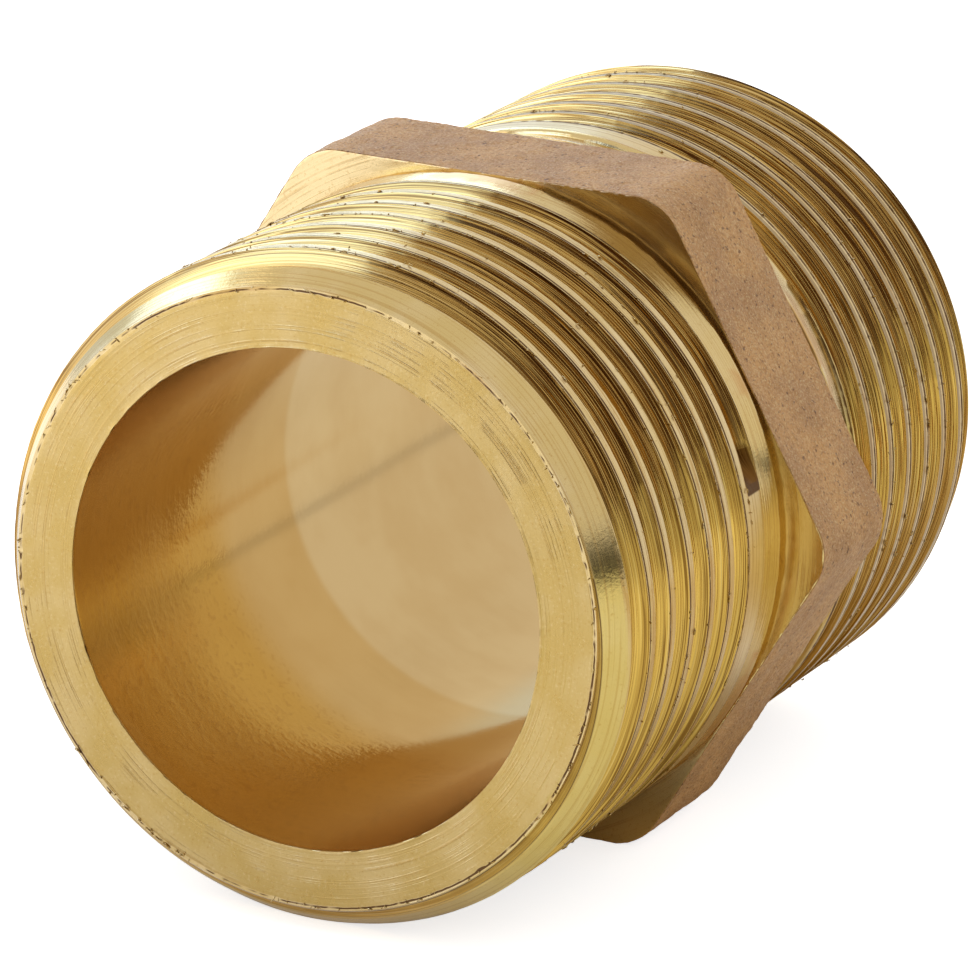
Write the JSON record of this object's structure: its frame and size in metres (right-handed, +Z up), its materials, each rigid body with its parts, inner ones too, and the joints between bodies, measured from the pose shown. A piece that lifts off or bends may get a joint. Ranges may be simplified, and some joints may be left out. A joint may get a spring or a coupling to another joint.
{
  "type": "hex nipple",
  "caption": "Straight pipe nipple: short tube with a male pipe thread at each end and a hexagonal wrench section between plain collars.",
  "frame": {"origin": "on the bore axis, midway between the two end faces", "axes": "+X along the bore axis from the front end to the rear end; +Z up, with a wrench flat facing down"},
  "size_m": [0.0356, 0.03, 0.0264],
  "materials": {
    "brass": "bright turned brass with matt as-forged wrench flats"
  },
  "bodies": {
    "root": {"nipple_body": "brass"}
  },
  "joints": []
}
